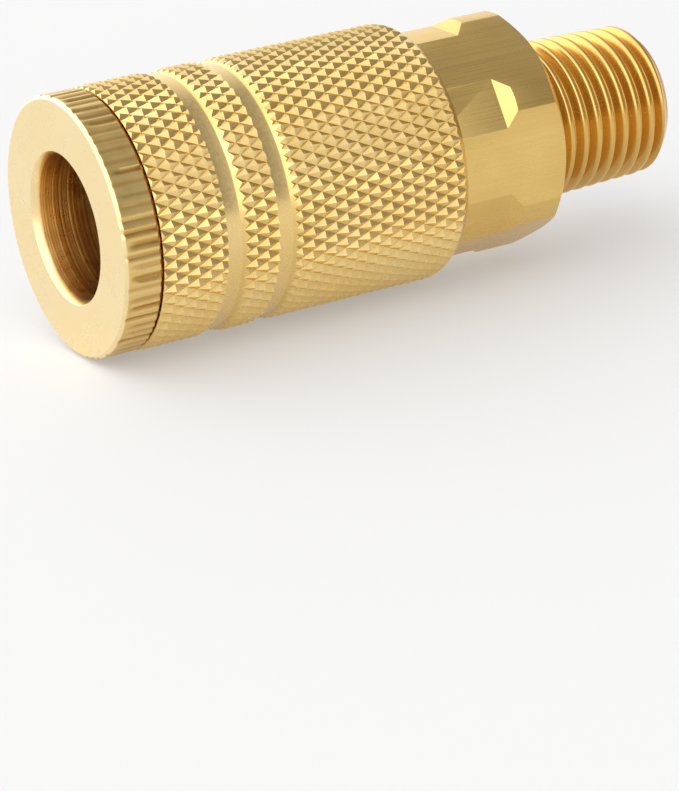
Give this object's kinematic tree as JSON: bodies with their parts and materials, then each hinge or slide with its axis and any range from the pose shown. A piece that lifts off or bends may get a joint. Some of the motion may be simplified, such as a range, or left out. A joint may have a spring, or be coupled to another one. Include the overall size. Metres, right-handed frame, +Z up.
{
  "type": "quick disconnect coupler",
  "caption": "Brass quick disconnect air coupler with a knurled pull-back sleeve, ball lock, shut-off valve and male pipe thread.",
  "frame": {"origin": "on the axis, at the pipe thread's hand-tight gauge plane", "axes": "+X along the axis out of the threaded end, +Z up through a ridge of the hexagon, flats of the hexagon face +Y and -Y"},
  "size_m": [0.0564, 0.0226, 0.0226],
  "materials": {
    "turned_brass": "satin turned",
    "knurled_brass": "bright diamond knurl",
    "drawn_brass": "satin drawn flats",
    "inner_brass": "machined",
    "ball_steel": "polished",
    "spring_steel": "drawn wire",
    "plated_steel": "plated",
    "black_rubber": "matte"
  },
  "bodies": {
    "body": {"nose_barrel": "turned_brass", "rear_body": "drawn_brass", "plug_seal": "black_rubber", "seat_ring": "inner_brass", "body_gasket": "black_rubber", "sleeve_spring": "spring_steel", "valve_spring": "spring_steel"},
    "slip_ring": {"slip_ring": "plated_steel"},
    "sleeve": {"sleeve": "knurled_brass"},
    "ball_1": {"locking_ball_1": "ball_steel"},
    "ball_2": {"locking_ball_2": "ball_steel"},
    "ball_3": {"locking_ball_3": "ball_steel"},
    "ball_4": {"locking_ball_4": "ball_steel"},
    "ball_5": {"locking_ball_5": "ball_steel"},
    "ball_6": {"locking_ball_6": "ball_steel"},
    "valve": {"valve_poppet": "inner_brass", "valve_seal": "black_rubber"}
  },
  "joints": [
    {"name": "sleeve_slide", "type": "slide", "parent": "body", "child": "slip_ring", "axis": [1, 0, 0], "range_m": [0, 0.0045], "stiffness_N_per_m": 1500, "springref_m": -0.004, "deforming": ["sleeve_spring"]},
    {"name": "sleeve_spin", "type": "hinge", "parent": "slip_ring", "child": "sleeve", "pos_m": [0, 0, 0], "axis": [1, 0, 0], "continuous": true},
    {"name": "ball_1_slide", "type": "slide", "parent": "body", "child": "ball_1", "axis": [0, 0, 1], "range_m": [0, 0.0009]},
    {"name": "ball_2_slide", "type": "slide", "parent": "body", "child": "ball_2", "axis": [0, -0.866, 0.5], "range_m": [0, 0.0009]},
    {"name": "ball_3_slide", "type": "slide", "parent": "body", "child": "ball_3", "axis": [0, -0.866, -0.5], "range_m": [0, 0.0009]},
    {"name": "ball_4_slide", "type": "slide", "parent": "body", "child": "ball_4", "axis": [0, 0, -1], "range_m": [0, 0.0009]},
    {"name": "ball_5_slide", "type": "slide", "parent": "body", "child": "ball_5", "axis": [0, 0.866, -0.5], "range_m": [0, 0.0009]},
    {"name": "ball_6_slide", "type": "slide", "parent": "body", "child": "ball_6", "axis": [0, 0.866, 0.5], "range_m": [0, 0.0009]},
    {"name": "valve_slide", "type": "slide", "parent": "body", "child": "valve", "axis": [1, 0, 0], "range_m": [0, 0.004], "stiffness_N_per_m": 800, "springref_m": -0.004, "deforming": ["valve_spring"]}
  ],
  "couplings": [
    {"joint": "ball_1_slide", "follows": "sleeve_slide", "ratio": 0.2},
    {"joint": "ball_2_slide", "follows": "sleeve_slide", "ratio": 0.2},
    {"joint": "ball_3_slide", "follows": "sleeve_slide", "ratio": 0.2},
    {"joint": "ball_4_slide", "follows": "sleeve_slide", "ratio": 0.2},
    {"joint": "ball_5_slide", "follows": "sleeve_slide", "ratio": 0.2},
    {"joint": "ball_6_slide", "follows": "sleeve_slide", "ratio": 0.2}
  ]
}
